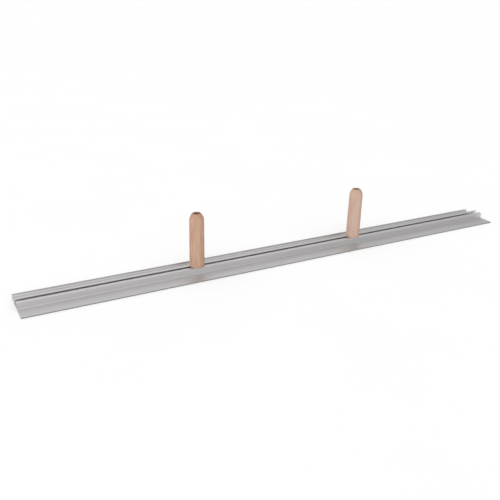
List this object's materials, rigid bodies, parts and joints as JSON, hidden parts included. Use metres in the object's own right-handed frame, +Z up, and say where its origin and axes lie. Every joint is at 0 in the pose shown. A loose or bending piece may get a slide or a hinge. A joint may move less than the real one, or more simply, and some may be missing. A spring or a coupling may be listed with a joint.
{
  "type": "darby float",
  "caption": "Long flat float blade for levelling plaster, render or fresh concrete, with upright wooden peg handles clamped in a T-channel so that they can be slid along it.",
  "frame": {"origin": "on the flat sole's plane, at the middle of the blade's length and width", "axes": "+X along the blade, +Y from the working edge towards the raised rear edge, +Z up from the sole towards the handles"},
  "size_m": [1.2, 0.09, 0.1335],
  "materials": {
    "blade_alloy": "mill-finish extrusion with fine lengthwise die lines",
    "left_wood": "bare sanded beech, slightly darker piece",
    "right_wood": "bare sanded beech, slightly paler piece",
    "zinc_steel": "bright zinc plated"
  },
  "bodies": {
    "blade": {"blade": "blade_alloy"},
    "left_carriage": {"left_clamp_nut": "zinc_steel"},
    "left_clamp_washer": {"left_washer": "zinc_steel"},
    "left_clamp_screw": {"left_screw": "zinc_steel"},
    "left_grip": {"left_handle": "left_wood"},
    "right_carriage": {"right_clamp_nut": "zinc_steel"},
    "right_clamp_washer": {"right_washer": "zinc_steel"},
    "right_clamp_screw": {"right_screw": "zinc_steel"},
    "right_grip": {"right_handle": "right_wood"}
  },
  "joints": [
    {"name": "left_slide", "type": "slide", "parent": "blade", "child": "left_carriage", "axis": [1, 0, 0], "range_m": [-0.356, 0.211]},
    {"name": "left_swivel", "type": "hinge", "parent": "left_carriage", "child": "left_grip", "pos_m": [-0.228, 0.0035, 0.0155], "axis": [0, 0, 1], "continuous": true},
    {"name": "left_screw_lift", "type": "slide", "parent": "left_carriage", "child": "left_clamp_washer", "axis": [0, 0, 1], "range_m": [0, 0.002]},
    {"name": "left_screw_turn", "type": "hinge", "parent": "left_clamp_washer", "child": "left_clamp_screw", "pos_m": [-0.228, 0.0035, 0.1146], "axis": [0, 0, 1], "range_deg": [0, 720]},
    {"name": "right_slide", "type": "slide", "parent": "blade", "child": "right_carriage", "axis": [1, 0, 0], "range_m": [-0.164, 0.403]},
    {"name": "right_swivel", "type": "hinge", "parent": "right_carriage", "child": "right_grip", "pos_m": [0.181, 0.0035, 0.0155], "axis": [0, 0, 1], "continuous": true},
    {"name": "right_screw_lift", "type": "slide", "parent": "right_carriage", "child": "right_clamp_washer", "axis": [0, 0, 1], "range_m": [0, 0.002]},
    {"name": "right_screw_turn", "type": "hinge", "parent": "right_clamp_washer", "child": "right_clamp_screw", "pos_m": [0.181, 0.0035, 0.1146], "axis": [0, 0, 1], "range_deg": [0, 720]}
  ],
  "couplings": [
    {"joint": "left_screw_turn", "follows": "left_screw_lift", "rad_per_m": 6283.2},
    {"joint": "right_screw_turn", "follows": "right_screw_lift", "rad_per_m": 6283.2}
  ]
}
